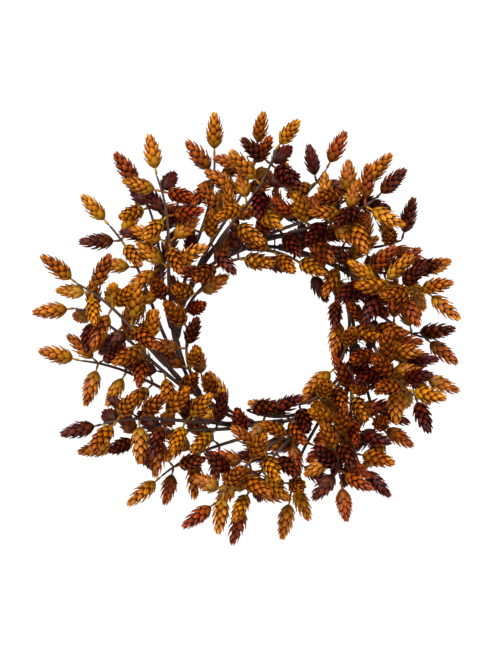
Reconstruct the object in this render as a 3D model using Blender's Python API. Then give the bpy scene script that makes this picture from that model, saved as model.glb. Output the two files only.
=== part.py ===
"""Harvest door wreath: moulded hop cones on wired twigs, swirling clockwise round a wire ring.

+Z is up, -Y is the front and +Y faces the door. The origin is the hanging point, the inside top
of the wire loop, and the wreath hangs below it. Lengths are in metres, angles in degrees, and a
place on the wreath is a clock angle from the top, a radius and a depth in front of the door.
"""

import math

import bmesh
import bpy
import numpy as np
from mathutils import Matrix, Vector

# The ring and its hanging loop
RING_RADIUS = 0.116
RING_WIRE = 0.005
RING_STEPS = 48
RING_SIDES = 8
LOOP_HEIGHT = 0.033
LOOP_WIDTH = 0.024
LOOP_WIRE = 0.002
EYE_CLEARANCE = 0.0011
EYE_OPEN_ANGLE = 30.0
EYE_POINTS = 10
EYE_TO_LEG = 0.0035
BEND_POINTS = 5
LEAST_LEG = 0.006

# The nine spray stems
SPRAYS = 9
SPRAY_START = 8.0
SPRAY_SWEEP = 52.0
STEM_BASE = 0.0045
STEM_TIP = 0.0028
STEM_STEPS = 11
STEM_SIDES = 8
STEM_CLEARANCE = 0.0006
STEM_RISES_FROM = 0.25
STEM_DRIFT_OUT = 0.022
STEM_DRIFT_FORWARD = 0.045

# The tie wire round the ring and each stem
TIE_AT = 0.12
TIE_WIRE = 0.0014
TIE_CLEARANCE = 0.0006
TIE_STEPS = 12

# The twigs: the wreath's outline is where the end cones' tips reach
OVERALL_DIAMETER = 0.570
OUTLINE_SHIFT = 0.022
OUTLINE_TOWARD = 300.0
TWIG_RADIUS = 0.0021
FORK_RADIUS = 0.0014
FORK_GAP = 0.0005
HINGE_GAP = 0.0012
FORK_LENGTH = 0.006
INNER_LENGTH = 0.085
RISE_LENGTH = 0.075
SWIRL_AT_RING = 76.0
SWIRL_AT_RIM = 14.0
SWIRL_INSIDE = 99.0
BEND_FORWARD = 20.0

# The cones
CONE_LENGTH = 0.049
CONE_RADIUS = 0.0125
STALK_LENGTH = 0.011
STALK_RADIUS = 0.0014
CONE_SIDES = 5
CONE_SPREAD = 37.0
THIRD_LIFT = 0.9
CONE_GAP = 0.0007
SMALLEST_CONE = 0.84
FOLIAGE_BACK = 0.0105
BACK_LAYER = 0.0175
LAYER_PITCH = 2.24
OPENING_RADIUS = 0.080
SEED = 11
EASE_STEPS = 70
EASE_ROUNDS = 30
EASE_RATE = 0.8
PAIR_REACH = 2.4
EASE_PULL = 0.03
PULL_SHARE = 0.62
CAUGHT_BY = 0.002
LEAST_LEVER = 0.008
GUARD_FROM = 0.31
GUARD_TO = 0.76
STALK_GUARD = 0.7
MOST_FORWARD = 0.60
FLATTEN_RATE = 0.12
FLATTEN_STEPS = 480
SETTLE_STEPS = 60

DOOR_Y = RING_WIRE / 2
LEG = LOOP_WIDTH / 2
CENTRE_Z = -LOOP_HEIGHT - math.sqrt(RING_RADIUS**2 - LEG**2)
SPRAY_PITCH = 360.0 / SPRAYS
STEM_SEAT = RING_WIRE + STEM_CLEARANCE + STEM_BASE
FORWARD = Vector((0.0, -1.0, 0.0))

# Each kind of twig: where it forks along its stem, which way it leaves, the layer of foliage it
# settles in, where its cones sprout along it, and how many sprout at each place.
TWIGS = {
    "back": {"fork": 0.16, "leave": (0.85, 0.5), "layer": 0.0,
             "nodes": (0.24, 0.45, 0.66, 0.87), "cones": (1, 2, 2, 3)},
    "mid": {"fork": 0.51, "leave": (0.55, 0.85), "layer": 1.0,
            "nodes": (0.21, 0.43, 0.65, 0.86), "cones": (2, 2, 2, 3)},
    "front": {"fork": 0.86, "leave": (0.35, 0.94), "layer": 2.0,
              "nodes": (0.22, 0.43, 0.65, 0.86), "cones": (2, 3, 3, 3)},
    "inner": {"fork": 0.40, "leave": (-0.85, 0.5), "layer": 0.64,
              "nodes": (0.38, 0.70), "cones": (2, 2)},
}


def on_wreath(clock, radius, depth):
    """The point at a clock angle, a radius from the wreath's centre and a depth off the door."""
    angle = math.radians(clock)
    return Vector((radius * math.sin(angle), DOOR_Y - depth, CENTRE_Z + radius * math.cos(angle)))


def outward(clock):
    angle = math.radians(clock)
    return Vector((math.sin(angle), 0.0, math.cos(angle)))


def clockwise(clock):
    return outward(clock + 90.0)


def mix(low, high, share):
    return low + (high - low) * share


def ease_out(share):
    return 1.0 - (1.0 - min(share, 1.0)) ** 2


# ---------------------------------------------------------------- routes


def stem_place(spray, share):
    """(clock, radius, depth) on a stem: along the ring at first, then out and forward."""
    clock = SPRAY_PITCH * spray + SPRAY_START + SPRAY_SWEEP * share
    rise = max(0.0, (share - STEM_RISES_FROM) / (1.0 - STEM_RISES_FROM)) ** 1.4
    return clock, RING_RADIUS + STEM_DRIFT_OUT * rise, STEM_SEAT + STEM_DRIFT_FORWARD * rise


def stem_radius(share):
    return mix(STEM_BASE, STEM_TIP, share)


def twig_reach(clock):
    """How far from the ring's centre a twig ends: the foliage's outline is round, but set to one side."""
    angle = math.radians(clock - OUTLINE_TOWARD)
    across = OUTLINE_SHIFT * math.sin(angle)
    outline = OUTLINE_SHIFT * math.cos(angle) + math.sqrt((OVERALL_DIAMETER / 2) ** 2 - across**2)
    return outline - CONE_LENGTH - STALK_LENGTH


def swirl(kind, radius, reach):
    """How far a twig's course at a radius turns clockwise from straight out."""
    if kind == "inner":
        return SWIRL_INSIDE
    share = (radius - RING_RADIUS) / (reach - RING_RADIUS)
    return mix(SWIRL_AT_RIM, SWIRL_AT_RING, min(max(1.0 - share, 0.0), 1.0) ** 1.25)


def layer_depth(layer):
    """The depth of a layer's middle: the layers lie a cone's width and a little more apart."""
    return BACK_LAYER + CONE_RADIUS * (1.0 + LAYER_PITCH * layer)


def twig_route(kind, spray):
    """Points 2 mm apart along a twig, from its fork to where its end cone's stalk begins."""
    step = 0.002
    settings = TWIGS[kind]
    clock, stem_at, stem_depth = stem_place(spray, settings["fork"])
    gap = HINGE_GAP if kind == "front" else FORK_GAP
    off = stem_radius(settings["fork"]) + FORK_RADIUS + gap
    out_share, forward_share = Vector(settings["leave"]).normalized()
    radius = stem_at + off * out_share
    start_depth = stem_depth + off * forward_share
    points = [on_wreath(clock, radius, start_depth)]
    travelled = 0.0
    while (travelled < INNER_LENGTH) if kind == "inner" else (radius < twig_reach(clock)):
        turn = math.radians(swirl(kind, radius, twig_reach(clock)))
        radius += step * math.cos(turn)
        clock += math.degrees(step * math.sin(turn) / radius)
        travelled += step
        depth = mix(start_depth, layer_depth(settings["layer"]), ease_out(travelled / RISE_LENGTH))
        points.append(on_wreath(clock, radius, depth))
    return points


def along_route(points, share):
    """The point at a share of a route's length, and the route's direction there."""
    place = share * (len(points) - 1)
    first = min(int(place), len(points) - 2)
    here = points[first].lerp(points[first + 1], place - first)
    before = points[max(first - 1, 0)]
    after = points[min(first + 2, len(points) - 1)]
    return here, (after - before).normalized()


# ---------------------------------------------------------------- where the cones go


def bend_axis(route):
    """The hinge axis of a front twig: across its chord, so that a positive turn is forward."""
    chord = route[-1] - route[0]
    chord.y = 0.0
    return chord.normalized().cross(FORWARD)


def cone_starts():
    """Each cone's twig, place, preferred direction, stalk and length, before they are eased apart."""
    random = np.random.default_rng(SEED)
    cones = []
    for spray in range(SPRAYS):
        for kind, settings in TWIGS.items():
            route = twig_route(kind, spray)
            places = list(zip(settings["nodes"], settings["cones"])) + [(1.0, 1)]
            for node, (share, count) in enumerate(places):
                for number in range(count):
                    base, ahead = along_route(route, share)
                    last = share == 1.0
                    ahead_of_twig = last or number == 2
                    side = 0.0 if ahead_of_twig else 1.0 - 2.0 * ((number + node) % 2)
                    turn = side * (CONE_SPREAD + random.uniform(-4.0, 9.0))
                    turn += random.uniform(-14.0, 14.0) if ahead_of_twig else 0.0
                    lift = THIRD_LIFT if number == 2 else random.uniform(-0.35, 0.45)
                    across = ahead.cross(FORWARD).normalized()
                    aim = ahead * math.cos(math.radians(turn)) + across * math.sin(math.radians(turn))
                    aim = (aim + FORWARD * lift).normalized()
                    cones.append({
                        "twig": (kind, spray), "node": node, "last": last, "base": base,
                        "aim": aim, "size": random.uniform(SMALLEST_CONE, 1.0),
                    })
    return cones


def wood_lines():
    """Lines down the middle of every stem and twig: end, end, thickness, body and twig."""
    lines = []
    for spray in range(SPRAYS):
        stem = [on_wreath(*stem_place(spray, i / 8)) for i in range(9)]
        lines += [(a, b, STEM_BASE, 0, None) for a, b in zip(stem, stem[1:])]
        for kind in TWIGS:
            route = twig_route(kind, spray)
            marks = [along_route(route, i / 8)[0] for i in range(9)]
            own = (TWIG_RADIUS, body_of(kind, spray), (kind, spray))
            lines += [(a, b, *own) for a, b in zip(marks, marks[1:])]
    return lines


def body_of(kind, spray):
    """0 for what is fixed to the ring, or a front twig's own number."""
    return spray + 1 if kind == "front" else 0


def nearest(p, q, a, b):
    """How far along p-q the nearest point to a-b lies, and the gap's direction and width."""
    u, v, w = q - p, b - a, p - a
    uu, vv = (u * u).sum(1), (v * v).sum(1)
    uv, uw, vw = (u * v).sum(1), (u * w).sum(1), (v * w).sum(1)
    spread = np.maximum(uu * vv - uv * uv, 1e-12)
    s = np.clip((uv * vw - uw * vv) / spread, 0.0, 1.0)
    t = np.clip((uv * s + vw) / vv, 0.0, 1.0)
    s = np.clip((uv * t - uw) / uu, 0.0, 1.0)
    line = p + u * s[:, None] - a - v * t[:, None]
    width = np.maximum(np.linalg.norm(line, axis=1), 1e-9)
    return s, t, line / width[:, None], width


def bends(angle):
    """Each body's rotation and pivot when the front twigs are bent forward by an angle."""
    turns, pivots = [np.eye(3)], [np.zeros(3)]
    for spray in range(SPRAYS):
        route = twig_route("front", spray)
        turns.append(np.array(Matrix.Rotation(math.radians(angle), 3, bend_axis(route))))
        pivots.append(np.array(route[0]))
    return np.array(turns), np.array(pivots)


def moved(points, body, pose):
    turns, pivots = pose
    return pivots[body] + np.einsum("nij,nj->ni", turns[body], points - pivots[body])


def pair_up(middles, body, cone_count, own_twig):
    """Pairs of a cone or stalk and a line near it, for rest and for each way twigs may be bent."""
    reach = PAIR_REACH * (STALK_LENGTH + CONE_LENGTH)
    gaps = np.linalg.norm(middles[:2 * cone_count, None] - middles[None], axis=2)
    first, second = np.nonzero(gaps < reach)
    same_twig = own_twig[first] == own_twig[second]
    same_cone = second == first + cone_count
    stalk_on_twig = (first >= cone_count) & (second >= 2 * cone_count) & same_twig
    keep = (second > first) & ~same_cone & ~stalk_on_twig
    first, second = first[keep], second[keep]
    pairs = [(0, 0, first, second)]
    other = body[first] != body[second]
    for here, there in ((1, 0), (0, 1), (2, 0), (0, 2), (2, 2)):
        bent = ((here == 0) | (body[first] > 0)) & ((there == 0) | (body[second] > 0))
        pairs.append((here, there, first[other & bent], second[other & bent]))
    return pairs


def rods_of(cones):
    """What the easing moves: a rod in each cone, then one in each stalk, then the wood's lines."""
    count = len(cones)
    wood = wood_lines()
    size = np.array([cone["size"] for cone in cones])
    belly = STALK_LENGTH + GUARD_FROM * CONE_LENGTH * size
    nose = STALK_LENGTH + GUARD_TO * CONE_LENGTH * size
    cone_body = [body_of(*cone["twig"]) for cone in cones]
    twigs = [cone["twig"] for cone in cones] * 2 + [line[4] for line in wood]
    numbers = {twig: number for number, twig in enumerate(dict.fromkeys(twigs))}
    return {
        "cone": np.tile(np.arange(count), 2),
        "base": np.array([cone["base"] for cone in cones]),
        "low": np.concatenate([belly, np.full(count, TWIG_RADIUS)]),
        "high": np.concatenate([nose, belly * STALK_GUARD]),
        "wood_from": np.array([line[0] for line in wood]),
        "wood_to": np.array([line[1] for line in wood]),
        "thick": np.concatenate([CONE_RADIUS * size, np.full(count, STALK_RADIUS), [w[2] for w in wood]]),
        "body": np.array(cone_body + cone_body + [line[3] for line in wood]),
        "twig": np.array([numbers[twig] for twig in twigs]),
    }


def push_apart(rods, aim, poses, pairs):
    """How each cone's aim is pushed by whatever is too near it, and how deeply it is caught."""
    cone_of, low, high, body = rods["cone"], rods["low"], rods["high"], rods["body"]
    roots = rods["base"][cone_of]
    starts = np.concatenate([roots + aim[cone_of] * low[:, None], rods["wood_from"]])
    ends = np.concatenate([roots + aim[cone_of] * high[:, None], rods["wood_to"]])
    posed = [(moved(starts, body, pose), moved(ends, body, pose)) for pose in poses]
    push = np.zeros_like(aim)
    caught = np.zeros(len(aim))
    for here, there, i, j in pairs:
        s, t, line, width = nearest(posed[here][0][i], posed[here][1][i],
                                    posed[there][0][j], posed[there][1][j])
        short = rods["thick"][i] + rods["thick"][j] + CONE_GAP - width
        hit = short > 0
        i, j, s, t, line, short = i[hit], j[hit], s[hit], t[hit], line[hit], short[hit]
        both = j < len(cone_of)
        np.maximum.at(caught, cone_of[i], short)
        force = line * (np.where(both, 0.5, 0.8) * short)[:, None]
        lean(push, rods, poses[here], i, s, force)
        lean(push, rods, poses[there], j[both], t[both], -force[both])
    return push, caught


def lean(push, rods, pose, rod, share, force):
    """Adds to each cone's push what a force at a share of its rod turns its aim by."""
    low, high = rods["low"][rod], rods["high"][rod]
    lever = np.maximum(low + (high - low) * share, LEAST_LEVER)
    at_rest = np.einsum("nji,nj->ni", pose[0][rods["body"][rod]], force)
    np.add.at(push, rods["cone"][rod], at_rest / lever[:, None])


def keep_opening(rods, aim):
    """The push that turns the cones which lean into the wreath's opening back out of it."""
    count = len(aim)
    nose = rods["high"][:count]
    radial = (rods["base"] + aim * nose[:, None] - (0.0, 0.0, CENTRE_Z)) * (1.0, 0.0, 1.0)
    radius = np.linalg.norm(radial, axis=1)
    inside = np.maximum(OPENING_RADIUS + rods["thick"][:count] - radius, 0.0)
    return radial * (inside / radius / nose)[:, None]


def lay_flatter(rods, aim, poses, pairs, furthest_back):
    """Turns the cones that point straight forward nearer to the wreath's plane, where there is room."""
    for step in range(FLATTEN_STEPS + SETTLE_STEPS):
        push, caught = push_apart(rods, aim, poses, pairs)
        push += keep_opening(rods, aim)
        if step < FLATTEN_STEPS:
            too_far = np.maximum(-aim[:, 1] - MOST_FORWARD, 0.0)
            push[:, 1] += FLATTEN_RATE * too_far * (caught < CAUGHT_BY / 2)
        aim = aim + push * EASE_RATE
        aim /= np.linalg.norm(aim, axis=1)[:, None]
        aim[:, 1] = np.minimum(aim[:, 1], furthest_back)
    return aim


def ease_apart(cones):
    """Turns each cone about its place on its twig until all clear each other and the wood.

    They also clear with any front twig bent half or all the way forward. A cone that stays caught
    behind another is aimed afresh, and the easing goes on until none is caught.
    """
    random = np.random.default_rng(SEED)
    rods = rods_of(cones)
    aim = np.array([cone["aim"] for cone in cones])
    wanted = aim.copy()
    poses = [bends(0.0), bends(BEND_FORWARD / 2), bends(BEND_FORWARD)]
    wood_middle = (rods["wood_from"] + rods["wood_to"]) / 2
    middles = np.concatenate([rods["base"], rods["base"], wood_middle])
    pairs = pair_up(middles, rods["body"], len(cones), rods["twig"])
    thick, nose = rods["thick"][:len(cones)], rods["high"][:len(cones)]
    furthest_back = (DOOR_Y - FOLIAGE_BACK - thick - rods["base"][:, 1]) / nose
    for step in range(EASE_ROUNDS * EASE_STEPS):
        push, caught = push_apart(rods, aim, poses, pairs)
        push += keep_opening(rods, aim)
        pull = EASE_PULL * max(0.0, 1.0 - step / (PULL_SHARE * EASE_STEPS))
        aim = aim + push * EASE_RATE + pull * (wanted - aim)
        if step % EASE_STEPS == EASE_STEPS - 1:
            again = caught > CAUGHT_BY
            if not again.any():
                break
            aside = random.uniform((-1.0, -1.0, -1.0), (1.0, 0.3, 1.0), (again.sum(), 3))
            aim[again] = wanted[again] + aside * random.uniform(0.3, 1.0, (again.sum(), 1))
        aim /= np.linalg.norm(aim, axis=1)[:, None]
        aim[:, 1] = np.minimum(aim[:, 1], furthest_back)
    aim = lay_flatter(rods, aim, poses, pairs, furthest_back)
    for cone, direction in zip(cones, aim):
        cone["aim"] = Vector(direction).normalized()
    return cones


# ---------------------------------------------------------------- mesh helpers


def ring_of(bm, centre, along, radius, sides, reference, phase=0.5):
    """Corners round a point, anticlockwise as seen from ahead, starting off the reference."""
    side = (reference - along * reference.dot(along)).normalized()
    up = along.cross(side)
    corners = []
    for number in range(sides):
        angle = 2 * math.pi * (number + phase) / sides
        offset = side * math.cos(angle) + up * math.sin(angle)
        corners.append(bm.verts.new(centre + offset * radius))
    return corners


def skin(bm, low, high):
    """Closes the band between two rings of corners, whose counts may differ."""
    i = j = 0
    while i < len(low) or j < len(high):
        next_low, next_high = (i + 1) / len(low), (j + 1) / len(high)
        a, b = low[i % len(low)], high[j % len(high)]
        if next_low <= next_high + 1e-9 and i < len(low):
            bm.faces.new((a, low[(i + 1) % len(low)], b))
            i += 1
        else:
            bm.faces.new((a, high[(j + 1) % len(high)], b))
            j += 1


def sweep(bm, points, radii, sides, reference, closed=False):
    """A tube through points. The last ring of an open tube is left for its caller to close."""
    rings = []
    count = len(points)
    for number, point in enumerate(points):
        before = points[(number - 1) % count] if closed or number else point
        after = points[(number + 1) % count] if closed or number < count - 1 else point
        along = (after - before).normalized()
        toward = reference(point) if callable(reference) else reference
        rings.append(ring_of(bm, point, along, radii[number], sides, toward))
    for low, high in zip(rings, rings[1:] + (rings[:1] if closed else [])):
        for number in range(sides):
            after = (number + 1) % sides
            bm.faces.new((low[number], low[after], high[after], high[number]))
    if not closed:
        bm.faces.new(list(reversed(rings[0])))
    return rings


def finished(name, bm, material, origin=Vector((0.0, 0.0, 0.0))):
    """Turns a bmesh in world places into a named object whose own origin is at a point."""
    bmesh.ops.translate(bm, vec=-origin, verts=bm.verts)
    bm.normal_update()
    mesh = bpy.data.meshes.new(name)
    bm.to_mesh(mesh)
    bm.free()
    mesh.shade_smooth()
    mesh.set_sharp_from_angle(angle=math.radians(50.0))
    mesh.materials.append(material)
    thing = bpy.data.objects.new(name, mesh)
    thing.location = origin
    bpy.context.collection.objects.link(thing)
    return thing


def finish(name, colour, roughness, metallic=0.0):
    material = bpy.data.materials.new(name)
    material.use_nodes = True
    shader = material.node_tree.nodes["Principled BSDF"]
    shader.inputs["Base Color"].default_value = (*colour, 1.0)
    shader.inputs["Roughness"].default_value = roughness
    shader.inputs["Metallic"].default_value = metallic
    material.diffuse_color = (*colour, 1.0)
    return material


# ---------------------------------------------------------------- the pieces


def build_ring():
    """The wire ring, welded shut, with a flat of its section towards the door."""
    bm = bmesh.new()
    points = [on_wreath(360.0 * i / RING_STEPS, RING_RADIUS, RING_WIRE / 2) for i in range(RING_STEPS)]
    round_radius = RING_WIRE / 2 / math.cos(math.pi / RING_SIDES)
    sweep(bm, points, [round_radius] * RING_STEPS, RING_SIDES, FORWARD, closed=True)
    return finished("base_ring", bm, finish("ring_wire", (0.045, 0.033, 0.028), 0.45, 0.8))


def loop_route():
    """The bent wire from one eye's open end, up one leg, over the top and down to the other."""
    eye = RING_WIRE / 2 + EYE_CLEARANCE + LOOP_WIRE / 2
    open_angle = math.radians(EYE_OPEN_ANGLE)
    half = []
    for number in range(EYE_POINTS):
        angle = mix(open_angle, 2 * math.pi - open_angle, number / (EYE_POINTS - 1))
        half.append(Vector((LEG, eye * math.sin(angle), eye * math.cos(angle) - LOOP_HEIGHT)))
    half.append(Vector((LEG, 0.0, eye + EYE_TO_LEG - LOOP_HEIGHT)))
    top = LOOP_WIRE / 2
    bend = min(LEG, LOOP_HEIGHT - eye - LEAST_LEG)
    for number in range(BEND_POINTS):
        angle = math.pi / 2 * number / (BEND_POINTS - 1)
        rise = mix(top - bend, top, math.sin(angle))
        half.append(Vector((LEG * math.cos(angle), 0.0, rise)))
    other = [Vector((-point.x, point.y, point.z)) for point in reversed(half[:-1])]
    return half + other


def build_loop():
    """The hanging loop, one bent wire whose open eyes turn on the ring."""
    curve = bpy.data.curves.new("hanging_loop", "CURVE")
    curve.dimensions = "3D"
    curve.bevel_depth = LOOP_WIRE / 2
    curve.bevel_resolution = 1
    curve.use_fill_caps = True
    pivot = Vector((0.0, 0.0, -LOOP_HEIGHT))
    route = loop_route()
    spline = curve.splines.new("POLY")
    spline.points.add(len(route) - 1)
    for point, place in zip(spline.points, route):
        point.co = (*(place - pivot), 1.0)
    spline.use_smooth = True
    curve.materials.append(finish("loop_wire", (0.05, 0.045, 0.04), 0.4, 0.9))
    thing = bpy.data.objects.new("hanging_loop", curve)
    thing.location = pivot
    bpy.context.collection.objects.link(thing)
    return thing


def build_stem(spray, material):
    bm = bmesh.new()
    shares = [i / STEM_STEPS for i in range(STEM_STEPS + 1)]
    points = [on_wreath(*stem_place(spray, share)) for share in shares]
    rings = sweep(bm, points, [stem_radius(share) for share in shares], STEM_SIDES, FORWARD)
    tip = bm.verts.new(points[-1] + (points[-1] - points[-2]).normalized() * STEM_TIP)
    for number in range(STEM_SIDES):
        bm.faces.new((rings[-1][number], rings[-1][(number + 1) % STEM_SIDES], tip))
    finished(f"spray_stem_{spray + 1:02d}", bm, material)


def tie_route(spray):
    """An oval round the ring and the stem, tight to both by the tie's clearance."""
    clock, stem_at, depth = stem_place(spray, TIE_AT)
    stand_off = TIE_CLEARANCE + TIE_WIRE / 2
    ring = (RING_RADIUS, RING_WIRE / 2, RING_WIRE / 2 + stand_off)
    stem = (stem_at, depth, stem_radius(TIE_AT) + stand_off)
    route = []
    for number in range(TIE_STEPS):
        angle = 2 * math.pi * (number + 0.5) / TIE_STEPS
        out, fore = math.cos(angle), math.sin(angle)
        bulge = 1.0 / math.cos(math.pi / TIE_STEPS)
        middle = max((ring, stem), key=lambda c: c[0] * out + c[1] * fore + c[2])
        reach = middle[2] * bulge
        route.append(on_wreath(clock, middle[0] + out * reach, middle[1] + fore * reach))
    return route, clockwise(clock)


def build_tie(spray, material):
    bm = bmesh.new()
    route, along_ring = tie_route(spray)
    sweep(bm, route, [TIE_WIRE / 2] * TIE_STEPS, 4, along_ring, closed=True)
    finished(f"tie_wire_{spray + 1:02d}", bm, material)


def grow_cone(bm, quad, base, cone):
    """A stalk and a cone out of one side face of a twig, or on from the twig's end ring."""
    along = cone["aim"]
    size = cone["size"]
    corner = quad[0].co - base
    start = corner - along * corner.dot(along)
    neck = ring_of(bm, base + along * STALK_LENGTH, along, STALK_RADIUS, 4, start, 0.0)
    belly_at = base + along * (STALK_LENGTH + 0.32 * CONE_LENGTH * size)
    belly = ring_of(bm, belly_at, along, CONE_RADIUS * size, CONE_SIDES, start, 0.0)
    upper_at = base + along * (STALK_LENGTH + 0.68 * CONE_LENGTH * size)
    upper = ring_of(bm, upper_at, along, 0.76 * CONE_RADIUS * size, CONE_SIDES, start, 0.0)
    tip = bm.verts.new(base + along * (STALK_LENGTH + CONE_LENGTH * size))
    skin(bm, quad, neck)
    skin(bm, neck, belly)
    skin(bm, belly, upper)
    for number in range(CONE_SIDES):
        bm.faces.new((upper[number], upper[(number + 1) % CONE_SIDES], tip))


def twig_shares(kind, length):
    """Where along a twig its rings stand: a close pair round each place that cones sprout from."""
    half = 1.2 * TWIG_RADIUS / length
    shares = [0.0, FORK_LENGTH / length]
    for share in TWIGS[kind]["nodes"]:
        shares += [share - half, share + half]
    return shares + [1.0]


def build_twig(kind, spray, cones, material):
    """One twig with its cones: a square tube whose side faces grow into stalks."""
    bm = bmesh.new()
    route = twig_route(kind, spray)
    length = sum((b - a).length for a, b in zip(route, route[1:]))
    shares = twig_shares(kind, length)
    points = [along_route(route, share)[0] for share in shares]
    radii = [FORK_RADIUS] + [TWIG_RADIUS] * (len(points) - 2) + [STALK_RADIUS]
    rings = sweep(bm, points, radii, 4, FORWARD)
    bm.normal_update()
    free = {}
    for cone in cones:
        if cone["last"]:
            grow_cone(bm, rings[-1], cone["base"], cone)
            continue
        low, high = rings[2 + 2 * cone["node"]], rings[3 + 2 * cone["node"]]
        faces = free.setdefault(cone["node"], [
            (low[i], low[(i + 1) % 4], high[(i + 1) % 4], high[i]) for i in range(4)])
        best = max(faces, key=lambda quad: bm.faces.get(quad).normal.dot(cone["aim"]))
        faces.remove(best)
        bm.faces.remove(bm.faces.get(best))
        grow_cone(bm, best, cone["base"], cone)
    origin = route[0] if kind == "front" else Vector((0.0, 0.0, 0.0))
    finished(f"twig_{kind}_{spray + 1:02d}", bm, material, origin)


def build_twigs():
    tints = {
        "gold": finish("cone_gold", (0.76, 0.27, 0.02), 0.42),
        "rust": finish("cone_rust", (0.50, 0.12, 0.012), 0.42),
        "maroon": finish("cone_maroon", (0.095, 0.016, 0.010), 0.38),
        "tan": finish("cone_tan", (0.62, 0.25, 0.07), 0.45),
    }
    order = ("gold", "maroon", "rust", "tan", "rust", "gold", "maroon")
    cones = ease_apart(cone_starts())
    count = 0
    for spray in range(SPRAYS):
        for kind in TWIGS:
            own = [cone for cone in cones if cone["twig"] == (kind, spray)]
            build_twig(kind, spray, own, tints[order[count % len(order)]])
            count += 1


def build():
    for thing in list(bpy.data.objects):
        bpy.data.objects.remove(thing, do_unlink=True)
    build_ring()
    build_loop()
    bark = finish("stem_brown", (0.07, 0.042, 0.034), 0.7)
    tie = finish("tie_wire", (0.06, 0.04, 0.03), 0.5, 0.6)
    for spray in range(SPRAYS):
        build_stem(spray, bark)
        build_tie(spray, tie)
    build_twigs()


build()
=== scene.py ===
import math
import random

import bmesh
import bpy
from mathutils import Matrix, Vector


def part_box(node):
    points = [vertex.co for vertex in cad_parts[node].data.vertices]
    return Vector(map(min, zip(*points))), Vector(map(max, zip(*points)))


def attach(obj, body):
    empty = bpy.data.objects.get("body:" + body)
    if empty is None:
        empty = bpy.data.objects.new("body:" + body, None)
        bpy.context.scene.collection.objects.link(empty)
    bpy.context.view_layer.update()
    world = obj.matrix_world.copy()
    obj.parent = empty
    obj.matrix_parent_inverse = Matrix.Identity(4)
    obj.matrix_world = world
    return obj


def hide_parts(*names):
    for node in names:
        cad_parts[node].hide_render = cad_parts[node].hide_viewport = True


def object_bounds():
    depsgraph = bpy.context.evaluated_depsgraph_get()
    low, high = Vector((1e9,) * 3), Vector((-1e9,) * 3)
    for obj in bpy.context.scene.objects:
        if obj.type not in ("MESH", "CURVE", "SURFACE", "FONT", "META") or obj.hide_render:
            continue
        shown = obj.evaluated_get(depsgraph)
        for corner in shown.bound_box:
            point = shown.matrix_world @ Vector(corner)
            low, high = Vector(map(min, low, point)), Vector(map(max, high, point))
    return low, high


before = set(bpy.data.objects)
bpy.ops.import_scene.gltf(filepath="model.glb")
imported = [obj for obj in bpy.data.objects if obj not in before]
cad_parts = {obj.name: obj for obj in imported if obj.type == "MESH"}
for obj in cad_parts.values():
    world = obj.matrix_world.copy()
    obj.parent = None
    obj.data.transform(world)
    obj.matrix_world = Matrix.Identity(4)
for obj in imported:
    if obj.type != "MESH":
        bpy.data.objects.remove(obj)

cad_low, cad_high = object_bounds()


# ------------------------------------------------------------------ stage
# The wreath hangs in the air as on a door, above a pale floor and well before a backlit white screen.
# A large soft lamp stands above and to the left, and a weaker one fills in from the right.
VIEW_DISTANCE = 2.4
VIEW_HEIGHT = 0.854
FILM_LONG_SIDE = 36.0
BELOW_MIDDLE = 0.007
RIGHT_OF_MIDDLE = 0.005
SCREEN_AWAY = 4.0
SCREEN_HALF_WIDTH = 1.7
SCREEN_TOP = 1.6
SCREEN_GLOW = 1.1
FLOOR_Z = -1.5
FLOOR_HALF = 6.0
ROOM_LIGHT = 0.27
LAMPS = {
    "key_lamp": {"place": (-1.1, -2.2, 1.7), "size": 1.1, "watts": 76.0},
    "fill_lamp": {"place": (1.6, -2.4, 0.1), "size": 1.8, "watts": 20.0},
}


def linear(colour):
    """A hex sRGB colour as the linear values that a shader takes."""
    parts = [int(colour[i:i + 2], 16) / 255 for i in (1, 3, 5)]
    return (*(c / 12.92 if c <= 0.04045 else ((c + 0.055) / 1.055) ** 2.4 for c in parts), 1.0)


def add(tree, kind, feeds=None, **settings):
    """Adds a node to a tree. A feed is a value for a socket, or the node or output linked to it."""
    made = tree.nodes.new(kind)
    for name, value in settings.items():
        setattr(made, name, value)
    for socket, feed in (feeds or {}).items():
        if isinstance(feed, bpy.types.Node):
            feed = feed.outputs[0]
        if isinstance(feed, bpy.types.NodeSocket):
            tree.links.new(feed, made.inputs[socket])
        else:
            made.inputs[socket].default_value = feed
    return made


def blank_material(name):
    """A new material whose node tree is empty, and that tree."""
    material = bpy.data.materials.new(name)
    material.use_nodes = True
    material.node_tree.nodes.clear()
    return material, material.node_tree


def staged_plane(name, corners, material):
    mesh = bpy.data.meshes.new(name)
    mesh.from_pydata(corners, [], [tuple(range(len(corners)))])
    mesh.materials.append(material)
    plane = bpy.data.objects.new(name, mesh)
    bpy.context.collection.objects.link(plane)


wreath_middle = (cad_low + cad_high) / 2
lens = bpy.data.cameras.new("view")
lens.sensor_width = FILM_LONG_SIDE
lens.lens = FILM_LONG_SIDE * VIEW_DISTANCE / VIEW_HEIGHT
camera = bpy.data.objects.new("view", lens)
camera.location = wreath_middle + Vector((RIGHT_OF_MIDDLE, -VIEW_DISTANCE, -BELOW_MIDDLE))
camera.rotation_euler = (math.radians(90.0), 0.0, 0.0)
bpy.context.collection.objects.link(camera)
bpy.context.scene.camera = camera
bpy.context.scene.view_settings.view_transform = "Standard"

# Matt white paint: even and without a highlight.
floor_paint, tree = blank_material("matt_floor_paint")
paint = add(tree, "ShaderNodeBsdfPrincipled", {"Base Color": linear("#f4f4f2"), "Roughness": 0.9})
add(tree, "ShaderNodeOutputMaterial", {"Surface": paint})
corners = [(FLOOR_HALF * x, FLOOR_HALF * y, FLOOR_Z) for x, y in ((-1, -1), (1, -1), (1, 1), (-1, 1))]
staged_plane("floor", corners, floor_paint)

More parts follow.
